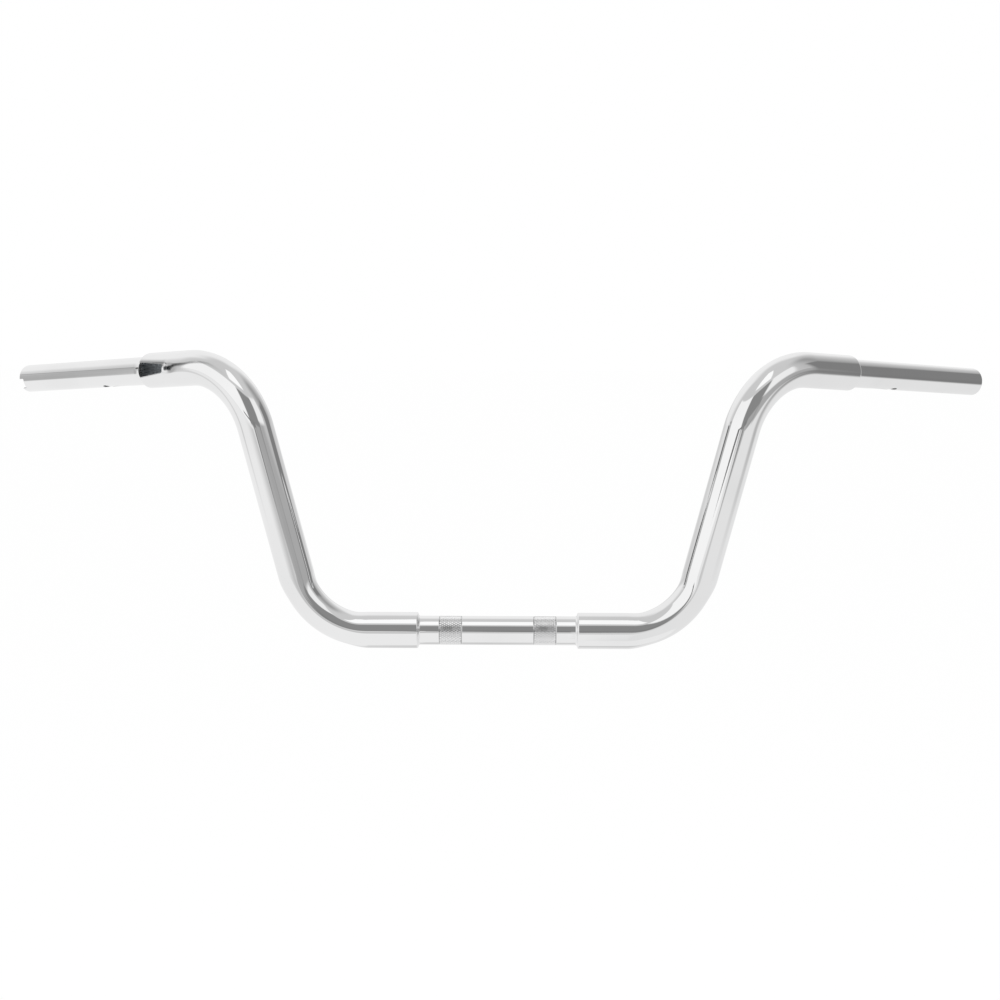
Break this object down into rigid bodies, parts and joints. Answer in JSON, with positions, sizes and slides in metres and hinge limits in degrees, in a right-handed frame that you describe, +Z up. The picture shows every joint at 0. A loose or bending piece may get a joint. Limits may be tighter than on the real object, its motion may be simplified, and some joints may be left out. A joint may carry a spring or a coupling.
{
  "type": "ape hanger handlebar",
  "caption": "Motorcycle ape hanger handlebar: plain and knurled clamp tube, fat bent risers and thinner swept-back grip tubes, all chromed.",
  "frame": {"origin": "middle of the clamp tube, on its axis", "axes": "+X along the clamp tube, to the right of someone who faces the bar from the front wheel; +Y towards the rider; +Z up, with the risers standing upright as on the motorcycle"},
  "size_m": [0.922, 0.1923, 0.2617],
  "materials": {
    "chrome": "bright chrome plate on steel tube"
  },
  "bodies": {
    "root": {"clamp_tube": "chrome", "riser_left": "chrome", "riser_right": "chrome", "grip_tube_left": "chrome", "grip_tube_right": "chrome"}
  },
  "joints": []
}
